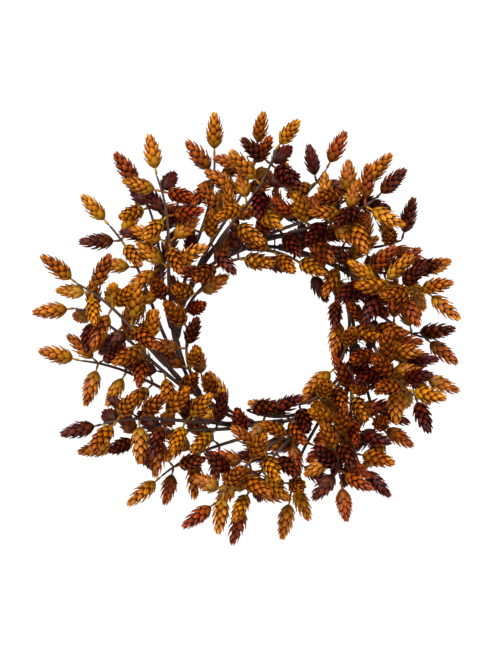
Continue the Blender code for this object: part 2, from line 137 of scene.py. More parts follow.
# A backlit white screen, far enough behind to light the wreath hardly at all.
screen, tree = blank_material("backlit_screen")
glow = add(tree, "ShaderNodeEmission", {"Color": linear("#ffffff"), "Strength": SCREEN_GLOW})
add(tree, "ShaderNodeOutputMaterial", {"Surface": glow})
corners = [(SCREEN_HALF_WIDTH * side, SCREEN_AWAY, height)
           for side, height in ((-1, FLOOR_Z), (1, FLOOR_Z), (1, SCREEN_TOP), (-1, SCREEN_TOP))]
staged_plane("backdrop", corners, screen)

world = bpy.data.worlds.new("studio")
bpy.context.scene.world = world
world.use_nodes = True
room = world.node_tree.nodes["Background"].inputs
room["Color"].default_value = linear("#ffffff")
room["Strength"].default_value = ROOM_LIGHT

for name, settings in LAMPS.items():
    lamp = bpy.data.lights.new(name, "AREA")
    lamp.size = settings["size"]
    lamp.energy = settings["watts"]
    stand = bpy.data.objects.new(name, lamp)
    stand.location = settings["place"]
    stand.rotation_euler = (Vector(wreath_middle) - stand.location).to_track_quat("-Z", "Y").to_euler()
    bpy.context.collection.objects.link(stand)


# ------------------------------------------------------------------ base ring
# A hoop of 5 mm steel wire, butt-welded shut and dipped in brown paint. It lies behind the stems
# and flat on the door, and everything else is tied or hooked to it.
ring_low, ring_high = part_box("base_ring")
RING_WIRE = ring_high[1] - ring_low[1]
RING_RADIUS = (ring_high[0] - ring_low[0] - RING_WIRE) / 2
CENTRE_Z = (ring_high[2] + ring_low[2]) / 2
DOOR_Y = ring_high[1]
RING_POINTS = 160
RING_SIDES = 20
SMOOTH = {"Ridges": 0.0, "Ridge Depth": 0.0}


def tube_tree():
    """Grows tubes along chains of edges: each point's radius is its own, and the skin has ridges."""
    tree = bpy.data.node_groups.new("tubes", "GeometryNodeTree")
    socket = tree.interface.new_socket
    socket("Chains", in_out="INPUT", socket_type="NodeSocketGeometry")
    socket("Sides", in_out="INPUT", socket_type="NodeSocketInt")
    socket("Ridges", in_out="INPUT", socket_type="NodeSocketFloat")
    socket("Ridge Depth", in_out="INPUT", socket_type="NodeSocketFloat")
    socket("Lump Depth", in_out="INPUT", socket_type="NodeSocketFloat")
    socket("Lump Size", in_out="INPUT", socket_type="NodeSocketFloat")
    socket("Material", in_out="INPUT", socket_type="NodeSocketMaterial")
    socket("Tubes", in_out="OUTPUT", socket_type="NodeSocketGeometry")
    given = add(tree, "NodeGroupInput").outputs
    rail = add(tree, "GeometryNodeMeshToCurve", {0: given["Chains"]})
    along = add(tree, "GeometryNodeSplineParameter").outputs["Length"]
    rail = add(tree, "GeometryNodeStoreNamedAttribute",
               {"Geometry": rail, "Name": "along", "Value": along}, domain="POINT", data_type="FLOAT")
    section = add(tree, "GeometryNodeCurvePrimitiveCircle",
                  {"Resolution": given["Sides"], "Radius": 1.0})
    around = add(tree, "GeometryNodeSplineParameter").outputs["Factor"]
    section = add(tree, "GeometryNodeStoreNamedAttribute",
                  {"Geometry": section, "Name": "around", "Value": around},
                  domain="POINT", data_type="FLOAT")
    radius = add(tree, "GeometryNodeInputNamedAttribute", {"Name": "radius_here"}, data_type="FLOAT")
    skin = add(tree, "GeometryNodeCurveToMesh",
               {"Curve": rail, "Profile Curve": section, "Scale": radius, "Fill Caps": True})
    around = add(tree, "GeometryNodeInputNamedAttribute", {"Name": "around"}, data_type="FLOAT")
    turns = add(tree, "ShaderNodeMath", {0: given["Ridges"], 1: math.tau}, operation="MULTIPLY")
    angle = add(tree, "ShaderNodeMath", {0: around, 1: turns}, operation="MULTIPLY")
    wave = add(tree, "ShaderNodeMath", {0: angle}, operation="SINE")
    ridge = add(tree, "ShaderNodeMath", {0: wave, 1: given["Ridge Depth"]}, operation="MULTIPLY")
    grain = add(tree, "ShaderNodeMath", {0: 1.0, 1: given["Lump Size"]}, operation="DIVIDE")
    place = add(tree, "GeometryNodeInputPosition")
    lump = add(tree, "ShaderNodeTexNoise", {"Vector": place, "Scale": grain, "Detail": 2.0})
    lump = add(tree, "ShaderNodeMath", {0: lump, 1: 0.5}, operation="SUBTRACT")
    lump = add(tree, "ShaderNodeMath", {0: lump, 1: given["Lump Depth"], 2: ridge},
               operation="MULTIPLY_ADD")
    radius = add(tree, "GeometryNodeInputNamedAttribute", {"Name": "radius_here"}, data_type="FLOAT")
    swell = add(tree, "ShaderNodeMath", {0: lump, 1: radius}, operation="MULTIPLY")
    normal = add(tree, "GeometryNodeInputNormal")
    offset = add(tree, "ShaderNodeVectorMath", {0: normal, "Scale": swell}, operation="SCALE")
    skin = add(tree, "GeometryNodeSetPosition", {"Geometry": skin, "Offset": offset})
    skin = add(tree, "GeometryNodeRealizeInstances", {"Geometry": skin})
    skin = add(tree, "GeometryNodeSetMaterial", {"Geometry": skin, "Material": given["Material"]})
    add(tree, "NodeGroupOutput", {0: skin})
    return tree


def grown(name, seed, tree, inputs):
    """Runs a node tree over a seed mesh and keeps what grows as a plain mesh at the origin."""
    piece = bpy.data.objects.new(name, seed)
    bpy.context.collection.objects.link(piece)
    grower = piece.modifiers.new("grow", "NODES")
    grower.node_group = tree
    for item in tree.interface.items_tree:
        if item.in_out == "INPUT" and item.name in inputs:
            grower[item.identifier] = inputs[item.name]
    bpy.context.view_layer.update()
    graph = bpy.context.evaluated_depsgraph_get()
    mesh = bpy.data.meshes.new_from_object(piece.evaluated_get(graph), depsgraph=graph)
    piece.modifiers.remove(grower)
    piece.data = mesh
    mesh.name = name
    mesh.shade_smooth()
    bpy.data.meshes.remove(seed)
    return piece


def chains_mesh(chains):
    """A mesh of bare edges, from chains of (point, radius) pairs and whether each chain is closed."""
    points, edges, radii = [], [], []
    for chain, closed in chains:
        first = len(points)
        points += [point for point, radius in chain]
        radii += [radius for point, radius in chain]
        edges += [(i, i + 1) for i in range(first, len(points) - 1)]
        edges += [(len(points) - 1, first)] if closed else []
    mesh = bpy.data.meshes.new("chains")
    mesh.from_pydata(points, edges, [])
    mesh.attributes.new("radius_here", "FLOAT", "POINT").data.foreach_set("value", radii)
    return mesh


def on_wreath(clock, radius, depth):
    """The point at a clock angle, a radius from the ring's centre and a depth off the door."""
    angle = math.radians(clock)
    return Vector((radius * math.sin(angle), DOOR_Y - depth, CENTRE_Z + radius * math.cos(angle)))


def wire_material(name, colour, worn, roughness, metallic):
    """Drawn wire with a thin skin: small rubs show what lies under it, and a fine grain dulls it."""
    material, tree = blank_material(name)
    place = add(tree, "ShaderNodeTexCoord").outputs["Object"]
    rub = add(tree, "ShaderNodeTexNoise", {"Vector": place, "Scale": 1 / 0.004, "Detail": 3.0})
    patch = add(tree, "ShaderNodeMapRange", {"Value": rub, "From Min": 0.58, "From Max": 0.72})
    tone = add(tree, "ShaderNodeMix", {0: patch, 6: linear(colour), 7: linear(worn)}, data_type="RGBA")
    grain = add(tree, "ShaderNodeTexNoise", {"Vector": place, "Scale": 1 / 0.0006})
    relief = add(tree, "ShaderNodeBump", {"Height": grain, "Strength": 0.35, "Distance": 0.0002})
    dull = add(tree, "ShaderNodeMapRange",
               {"Value": grain, "To Min": roughness - 0.1, "To Max": roughness + 0.1})
    coat = add(tree, "ShaderNodeBsdfPrincipled", {
        "Base Color": tone.outputs[2], "Roughness": dull, "Metallic": metallic, "Normal": relief})
    add(tree, "ShaderNodeOutputMaterial", {"Surface": coat})
    return material


tubes = tube_tree()
ring_paint = wire_material("dip_painted_steel_wire", "#3a2c26", "#6f675f", 0.45, 0.2)
hoop = [(on_wreath(360.0 * i / RING_POINTS, RING_RADIUS, RING_WIRE / 2), RING_WIRE / 2)
        for i in range(RING_POINTS)]
ring = grown("ring_hoop", chains_mesh([(hoop, True)]), tubes, {
    "Sides": RING_SIDES, **SMOOTH, "Lump Depth": 0.05, "Lump Size": 0.012, "Material": ring_paint})
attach(ring, "wreath")
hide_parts("base_ring")


# ------------------------------------------------------------------ stems and twigs
# Nine stems of soft brown plastic moulded over iron wire, with the long ridges of a vine, lie one
# after another along the ring. Each forks into four thinner twigs, whose short pegs hold the cones.
SPRAYS = 9
SPRAY_START = 8.0
SPRAY_SWEEP = 52.0
STEM_BASE = 0.0045
STEM_TIP = 0.0028
STEM_CLEARANCE = 0.0006
STEM_RISES_FROM = 0.25
STEM_DRIFT_OUT = 0.022
STEM_DRIFT_FORWARD = 0.045
STEM_RISE_POWER = 1.4
STEM_POINTS = 71
STEM_SIDES = 28
STEM_RIDGES = 7.0
STEM_DRAWN_IN = 0.6
OVERALL_DIAMETER = 0.570
OUTLINE_SHIFT = 0.022
OUTLINE_TOWARD = 300.0
FORK_RADIUS = 0.0014
FORK_GAP = 0.0005
HINGE_GAP = 0.0012
FRONT_ROOT = 0.5
INNER_LENGTH = 0.085
RISE_LENGTH = 0.075
SWIRL_AT_RING = 76.0
SWIRL_AT_RIM = 14.0
SWIRL_INSIDE = 99.0
SWIRL_POWER = 1.25
TWIG_STEP = 0.002
TWIG_SIDES = 12
TWIG_RIDGES = 5.0
TWIG_RADIUS = 0.0021
THICK_AT_FORK = 1.15
THIN_AT_END = 0.62
TAPER_POWER = 1.5
END_DRAWN_IN = 0.55
NEXT_DRAWN_IN = 0.9
CONE_LENGTH = 0.049
CONE_RADIUS = 0.0125
CONE_FACES = 5
CONE_TIP_SHARE = 0.32
BLUNTEST_TIP = 220.0
SAME_CORNER = 0.00002
STALK_LENGTH = 0.011
PEG_LENGTH = 0.006
PEG_RADIUS = 0.0011
PEG_STEPS = 4

# How far each layer's middle is off the door, and where each kind of twig forks along its stem,
# with how much it leaves outwards and forwards.
LAYERS = {"inner": 0.0479, "back": 0.030, "mid": 0.058, "front": 0.086}
FORKS = {
    "back": (0.16, (0.85, 0.5)), "mid": (0.51, (0.55, 0.85)),
    "front": (0.86, (0.35, 0.94)), "inner": (0.40, (-0.85, 0.5)),
}


def mix(low, high, share):
    return low + (high - low) * share


def stem_place(spray, share):
    """(clock, radius, depth) on a stem: along the ring at first, then out and forward."""
    clock = 360.0 / SPRAYS * spray + SPRAY_START + SPRAY_SWEEP * share
    rise = max(0.0, (share - STEM_RISES_FROM) / (1.0 - STEM_RISES_FROM)) ** STEM_RISE_POWER
    seat = RING_WIRE + STEM_CLEARANCE + STEM_BASE
    return clock, RING_RADIUS + STEM_DRIFT_OUT * rise, seat + STEM_DRIFT_FORWARD * rise


def twig_reach(clock):
    """How far from the ring's centre a twig ends: the outline is round, but set to one side."""
    angle = math.radians(clock - OUTLINE_TOWARD)
    across = OUTLINE_SHIFT * math.sin(angle)
    outline = OUTLINE_SHIFT * math.cos(angle) + math.sqrt((OVERALL_DIAMETER / 2) ** 2 - across**2)
    return outline - CONE_LENGTH - STALK_LENGTH


def twig_route(kind, spray):
    """Points along a twig, from inside its stem to where its end cone's stalk begins."""
    fork, leave = FORKS[kind]
    clock, stem_at, stem_depth = stem_place(spray, fork)
    gap = HINGE_GAP if kind == "front" else FORK_GAP
    off = mix(STEM_BASE, STEM_TIP, fork) + FORK_RADIUS + gap
    out_share, forward_share = Vector(leave).normalized()
    radius = stem_at + off * out_share
    start_depth = stem_depth + off * forward_share
    rooted = FRONT_ROOT if kind == "front" else 0.0
    root = on_wreath(clock, mix(stem_at, radius, rooted), mix(stem_depth, start_depth, rooted))
    points = [root, on_wreath(clock, radius, start_depth)]
    travelled = 0.0
    while (travelled < INNER_LENGTH) if kind == "inner" else (radius < twig_reach(clock)):
        share = (radius - RING_RADIUS) / (twig_reach(clock) - RING_RADIUS)
        still_to_go = min(max(1.0 - share, 0.0), 1.0)
        turn = mix(SWIRL_AT_RIM, SWIRL_AT_RING, still_to_go ** SWIRL_POWER)
        turn = math.radians(SWIRL_INSIDE if kind == "inner" else turn)
        radius += TWIG_STEP * math.cos(turn)
        clock += math.degrees(TWIG_STEP * math.sin(turn) / radius)
        travelled += TWIG_STEP
        risen = 1.0 - (1.0 - min(travelled / RISE_LENGTH, 1.0)) ** 2
        points.append(on_wreath(clock, radius, mix(start_depth, LAYERS[kind], risen)))
    return points


def cones_on(node):
    """(base, aim, length) of each cone on a twig, read from the twig's solid.

    A cone ends in a sharp tip where slim faces meet, and the corners round it lie in one ring.
    The cones are sorted by place, so that each one draws the same tint however the mesh is stored.
    """
    solid = bmesh.new()
    solid.from_mesh(bpy.data.objects[node].data)
    bmesh.ops.remove_doubles(solid, verts=solid.verts, dist=SAME_CORNER)
    found = []
    for tip in solid.verts:
        if len(tip.link_edges) != CONE_FACES:
            continue
        corners = [edge.other_vert(tip).co for edge in tip.link_edges]
        middle = sum(corners, Vector()) / CONE_FACES
        opening = sum(loop.calc_angle() for loop in tip.link_loops)
        if opening > math.radians(BLUNTEST_TIP):
            continue
        length = (tip.co - middle).length / CONE_TIP_SHARE
        aim = (tip.co - middle).normalized()
        found.append((tip.co - aim * (STALK_LENGTH + length), aim, length))
    solid.free()
    return sorted(found, key=lambda cone: [round(value, 4) for value in cone[0] + cone[1] * 0.01])


def tapered(points, radii):
    """A chain whose two ends are drawn in, so that its caps look round."""
    chain = list(zip(points, radii))
    for numbers, share in (((0, -1), END_DRAWN_IN), ((1, -2), NEXT_DRAWN_IN)):
        for number in numbers:
            chain[number] = (chain[number][0], chain[number][1] * share)
    return chain, False


def twig_chains(kind, spray):
    """A twig and the pegs on it, each peg reaching from the twig's middle into a cone's sleeve."""
    points = twig_route(kind, spray)
    last = len(points) - 1
    radii = [mix(THICK_AT_FORK, THIN_AT_END, (i / last) ** TAPER_POWER) * TWIG_RADIUS
             for i in range(last + 1)]
    chains = [tapered(points, radii)]
    for base, aim, length in cones_on(f"twig_{kind}_{spray + 1:02d}"):
        peg = [base + aim * PEG_LENGTH * number / PEG_STEPS for number in range(PEG_STEPS + 1)]
        chains.append(tapered(peg, [PEG_RADIUS] * len(peg)))
    return chains


def stem_chain(spray):
    """A stem, which draws in past its last fork."""
    last_fork = FORKS["front"][0]
    points, radii = [], []
    for number in range(STEM_POINTS):
        share = number / (STEM_POINTS - 1)
        past = max(0.0, (share - last_fork) / (1.0 - last_fork))
        points.append(on_wreath(*stem_place(spray, share)))
        radii.append(mix(STEM_BASE, STEM_TIP, share) * (1.0 - STEM_DRAWN_IN * past))
    return tapered(points, radii)


def stem_material():
    """Soft plastic moulded with bark: waxy and dull, darker in the grooves, greyer on the ridges."""
    material, tree = blank_material("moulded_vine_bark_plastic")
    place = add(tree, "ShaderNodeTexCoord").outputs["Object"]
    along = add(tree, "ShaderNodeAttribute", {}, attribute_name="along").outputs["Fac"]
    around = add(tree, "ShaderNodeAttribute", {}, attribute_name="around").outputs["Fac"]
    run = add(tree, "ShaderNodeMath", {0: along, 1: 1 / 0.012}, operation="MULTIPLY")
    turn = add(tree, "ShaderNodeMath", {0: around, 1: 9.0}, operation="MULTIPLY")
    strand = add(tree, "ShaderNodeCombineXYZ", {0: turn, 1: run})
    fibre = add(tree, "ShaderNodeTexNoise", {"Vector": strand, "Scale": 1.0, "Detail": 4.0})
    blotch = add(tree, "ShaderNodeTexNoise", {"Vector": place, "Scale": 1 / 0.011, "Detail": 2.0})
    tone = add(tree, "ShaderNodeValToRGB", {"Fac": fibre})
    for number, (stop, colour) in enumerate(((0.34, "#2f1d19"), (0.66, "#66473d"))):
        tone.color_ramp.elements[number].position = stop
        tone.color_ramp.elements[number].color = linear(colour)
    dust = add(tree, "ShaderNodeMapRange",
               {"Value": blotch, "From Min": 0.45, "From Max": 0.75, "To Max": 0.5})
    tone = add(tree, "ShaderNodeMix", {0: dust, 6: tone.outputs[0], 7: linear("#7a5347")},
               data_type="RGBA")
    relief = add(tree, "ShaderNodeBump", {"Height": fibre, "Strength": 0.6, "Distance": 0.0006})
    dull = add(tree, "ShaderNodeMapRange", {"Value": fibre, "To Min": 0.72, "To Max": 0.5})
    bark = add(tree, "ShaderNodeBsdfPrincipled", {
        "Base Color": tone.outputs[2], "Roughness": dull, "Normal": relief})
    add(tree, "ShaderNodeOutputMaterial", {"Surface": bark})
    return material


bark_plastic = stem_material()
BARK = {"Ridge Depth": 0.10, "Lump Depth": 0.35, "Lump Size": 0.007, "Material": bark_plastic}
stems = grown("stems", chains_mesh([stem_chain(spray) for spray in range(SPRAYS)]), tubes,
              {"Sides": STEM_SIDES, "Ridges": STEM_RIDGES, **BARK})
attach(stems, "wreath")
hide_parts(*[f"spray_stem_{spray + 1:02d}" for spray in range(SPRAYS)])

fixed = [(kind, spray) for spray in range(SPRAYS) for kind in ("inner", "back", "mid")]
twig_groups = {"wreath": fixed}
twig_groups.update({f"twig_front_{spray + 1:02d}": [("front", spray)] for spray in range(SPRAYS)})
for body, twigs in twig_groups.items():
    chains = [chain for kind, spray in twigs for chain in twig_chains(kind, spray)]
    wood = grown(f"twig_wood_{body}", chains_mesh(chains), tubes,
                 {"Sides": TWIG_SIDES, "Ridges": TWIG_RIDGES, **BARK})
    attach(wood, body)
    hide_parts(*[f"twig_{kind}_{spray + 1:02d}" for kind, spray in twigs])


# ------------------------------------------------------------------ tie wires
# Soft iron binding wire, 0.7 mm, wound three times round the ring and a stem's base, then its two
# ends twisted together on the outside and snipped.
TIE_AT = 0.12
TIE_WIRE = 0.0007
TIE_SIDES = 8
TIE_TURNS = 3
TIE_PITCH = 0.00085
TIE_STEPS = 40
TWIST_LENGTH = 0.009
TWIST_TURNS = 3.5
TWIST_POINTS = 36
TWIST_SUNK = 0.001
TWIST_LEAN = 0.4


def tie_chains(spray):
    """The wound wire, a helix round both rods, and the twisted pair of ends."""
    clock, stem_at, depth = stem_place(spray, TIE_AT)
    along = on_wreath(clock + 90.0, 1.0, 0.0) - on_wreath(0.0, 0.0, 0.0)
    ring_rod = (RING_RADIUS, RING_WIRE / 2, RING_WIRE / 2 + TIE_WIRE / 2)
    stem_rod = (stem_at, depth, mix(STEM_BASE, STEM_TIP, TIE_AT) + TIE_WIRE)
    wound = []
    for number in range(TIE_TURNS * TIE_STEPS + 1):
        angle = math.tau * number / TIE_STEPS
        out, fore = math.cos(angle), math.sin(angle)
        middle = max((ring_rod, stem_rod), key=lambda rod: rod[0] * out + rod[1] * fore + rod[2])
        slide = TIE_PITCH * (number / TIE_STEPS - TIE_TURNS / 2)
        place = on_wreath(clock, middle[0] + out * middle[2], middle[1] + fore * middle[2])
        wound.append((place + along * slide, TIE_WIRE / 2))
    start = on_wreath(clock, stem_rod[0] + stem_rod[2], stem_rod[1] - TWIST_SUNK)
    outward = on_wreath(clock, 1.0, 0.0) - on_wreath(clock, 0.0, 0.0)
    chains = [(wound, False)]
    for strand in (0.0, math.pi):
        twisted = []
        for number in range(TWIST_POINTS):
            share = number / (TWIST_POINTS - 1)
            angle = strand + math.tau * TWIST_TURNS * share
            swing = along * math.cos(angle) + Vector((0.0, 1.0, 0.0)) * math.sin(angle)
            lean = along * (TWIST_LEAN * share * share * TWIST_LENGTH)
            twisted.append((start + outward * TWIST_LENGTH * share + swing * TIE_WIRE * 0.5 + lean,
                            TIE_WIRE / 2))
        chains.append((twisted, False))
    return chains


tie_iron = wire_material("annealed_iron_binding_wire", "#3b302b", "#5d5550", 0.5, 0.6)
chains = [chain for spray in range(SPRAYS) for chain in tie_chains(spray)]
ties = grown("ties", chains_mesh(chains), tubes, {
    "Sides": TIE_SIDES, **SMOOTH, "Lump Depth": 0.0, "Lump Size": 0.01, "Material": tie_iron})
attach(ties, "wreath")
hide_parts(*[f"tie_wire_{spray + 1:02d}" for spray in range(SPRAYS)])


# ------------------------------------------------------------------ hanging loop
# One length of 2 mm steel wire, bent to an arch with a hooked eye at each end. The eyes turn on
# the ring, so that the loop stands up for hanging or folds back for packing.
LOOP_HEIGHT = 0.033
LOOP_WIDTH = 0.024
LOOP_WIRE = 0.002
LOOP_SIDES = 14
EYE_CLEARANCE = 0.0011
EYE_OPEN_ANGLE = 30.0
EYE_POINTS = 28
EYE_TO_LEG = 0.0035
LEAST_LEG = 0.006
BEND_POINTS = 16


def loop_chain():
    """Half the loop, from one eye's open end up a leg to the top, and then its mirror image."""
    leg = LOOP_WIDTH / 2
    eye = RING_WIRE / 2 + EYE_CLEARANCE + LOOP_WIRE / 2
    open_angle = math.radians(EYE_OPEN_ANGLE)
    half = []
    for number in range(EYE_POINTS):
        angle = mix(open_angle, math.tau - open_angle, number / (EYE_POINTS - 1))
        half.append(Vector((leg, eye * math.sin(angle), eye * math.cos(angle) - LOOP_HEIGHT)))
    half.append(Vector((leg, 0.0, eye + EYE_TO_LEG - LOOP_HEIGHT)))
    bend = min(leg, LOOP_HEIGHT - eye - LEAST_LEG)
    for number in range(BEND_POINTS):
        angle = math.pi / 2 * number / (BEND_POINTS - 1)
        height = LOOP_WIRE / 2 + bend * (math.sin(angle) - 1.0)
        half.append(Vector((leg * math.cos(angle), 0.0, height)))
    other = [Vector((-point.x, point.y, point.z)) for point in reversed(half[:-1])]
    return [(point, LOOP_WIRE / 2) for point in half + other], False


loop_steel = wire_material("bright_annealed_steel_wire", "#4a443f", "#8a857e", 0.38, 0.85)
loop = grown("loop_of_wire", chains_mesh([loop_chain()]), tubes, {
    "Sides": LOOP_SIDES, **SMOOTH, "Lump Depth": 0.0, "Lump Size": 0.01, "Material": loop_steel})
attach(loop, "hanging_loop")
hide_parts("hanging_loop")


# ------------------------------------------------------------------ hop cones
# Each cone is eight whorls of five cupped bracts, moulded in soft plastic and threaded on a core,
# with a tapering sleeve below that pushes over a peg. The lowest whorl is opener and greener, and
# the four tints are dyed through, with painted shade darkening each bract at its root and edges.
WHORLS = 8
BRACTS_A_WHORL = 5
BRACT_LENGTH = 0.0150
BRACT_WIDTH = 0.0094
BRACT_FLARE = 1.05
TOP_BRACT_LENGTH = 0.0098
BRACT_SWING = 0.09
BRACT_STRETCH = 0.07
BRACT_ROOT_SHARE = 0.55
BRACT_RISE_SHARE = 0.92
TIP_WOBBLE = 0.0006
CORE_WIDTH_SHARE = 0.62
CORE_LENGTH_SHARE = 0.90
CORE_SIDES = 7
SLEEVE_SIDES = 9
SLEEVE_PALENESS = 0.7
SHARP_FOLD = 48.0
CONE_WIDTHS = (0.92, 1.03)
RANDOM_SEED = 7
BRACT_SEED = 11
CONE_SIZES = {
    "Whorls": WHORLS, "Bracts a Whorl": BRACTS_A_WHORL, "Bract Length": BRACT_LENGTH,
    "Top Bract Length": TOP_BRACT_LENGTH, "Bract Width": BRACT_WIDTH, "Bract Flare": BRACT_FLARE,
}

# A cone's radius at each share of its length, the stations along a bract (share, width, bulge), and
# the core and the sleeve as pairs of height and radius.
CONE_OUTLINE = ((0.0, 0.28), (0.12, 0.78), (0.24, 0.97), (0.36, 1.0), (0.52, 0.93), (0.68, 0.78),
                (0.82, 0.58), (0.93, 0.36), (1.0, 0.16))
BRACT_STATIONS = ((0.0, 0.34, 0.0), (0.24, 0.84, 0.065), (0.48, 1.0, 0.09), (0.76, 0.60, 0.07))
BRACT_CUP = 0.075
BRACT_RIB = 0.026
BRACT_THICK = 0.09
CORE_PROFILE = ((0.0, 0.25), (0.1, 0.75), (0.3, 1.0), (0.6, 0.86), (0.85, 0.5), (1.0, 0.1))
SLEEVE_PROFILE = ((-0.0085, 0.00165), (-0.0062, 0.0017), (-0.0035, 0.00130), (-0.0008, 0.0011),
                  (0.0012, 0.0024))
# Each tint's low colour is painted shade, laid on at a bract's root and along its edges.
TINTS = {
    "gold": {"share": 0.29, "tip": "#f8a630", "body": "#e88412", "low": "#843a06", "whorl": "#bc9420"},
    "rust": {"share": 0.31, "tip": "#de701a", "body": "#c0540c", "low": "#561d05", "whorl": "#9a6210"},
    "maroon": {"share": 0.27, "tip": "#8a3820", "body": "#662212", "low": "#260a05", "whorl": "#64300f"},
    "tan": {"share": 0.13, "tip": "#f2a04c", "body": "#d97c2c", "low": "#78370e", "whorl": "#ac9038"},
}


def blade_mesh(name, rows, faces_of):
    """A small closed mesh, whose blade attribute holds the shares along and across a bract."""
    mesh = bpy.data.meshes.new(name)
    mesh.from_pydata([row[0] for row in rows], [], faces_of)
    blade = mesh.attributes.new("blade", "FLOAT_VECTOR", "POINT")
    blade.data.foreach_set("vector", [value for row in rows for value in (*row[1], 0.0)])
    mesh.shade_smooth()
    mesh.set_sharp_from_angle(angle=math.radians(SHARP_FOLD))
    return mesh


def bract_mesh():
    """A bract 1 long and 1 wide: ovate, ribbed, pointed, cupped and closed. X is its outer side."""
    rows, faces = [], []
    for share, width, bulge in BRACT_STATIONS:
        for side in (-1.0, -0.5, 0.0, 0.5, 1.0):
            cup = BRACT_CUP * (1.0 - side * side) - BRACT_CUP
            rib = BRACT_RIB if side == 0.0 else 0.0
            rows.append(((bulge + cup + rib, side * width / 2, share), (share, side)))
        for side in (-0.5, 0.5):
            rows.append(((bulge - BRACT_THICK, side * width / 2, share), (share, side)))
    rows.append(((BRACT_CUP, 0.0, 1.0), (1.0, 0.0)))
    tip = len(rows) - 1

    # The corners of a station in order round it: the outer side's five, then the inner side's two.
    rim = (0, 1, 2, 3, 4, 6, 5)
    steps = list(zip(rim, rim[1:] + rim[:1]))
    for row in range(len(BRACT_STATIONS) - 1):
        low, high = row * len(rim), (row + 1) * len(rim)
        for a, b in steps:
            faces.append((low + a, low + b, high + b, high + a))
    for a, b in steps:
        faces.append((tip - len(rim) + a, tip - len(rim) + b, tip))
    faces.append((0, 5, 6, 4, 3, 2, 1))
    return blade_mesh("bract", rows, faces)


def turned_mesh(name, profile, sides, paleness):
    """A closed turned body, coloured throughout as a bract is at one share of its length."""
    rows, faces = [], []
    for height, radius in profile:
        for side in range(sides):
            angle = math.tau * side / sides
            place = (radius * math.cos(angle), radius * math.sin(angle), height)
            rows.append((place, (paleness, 0.0)))
    for low in range(0, (len(profile) - 1) * sides, sides):
        for side in range(sides):
            after = (side + 1) % sides
            faces.append((low + side, low + after, low + sides + after, low + sides + side))
    faces.append(tuple(reversed(range(sides))))
    faces.append(tuple(range((len(profile) - 1) * sides, len(profile) * sides)))
    return blade_mesh(name, rows, faces)


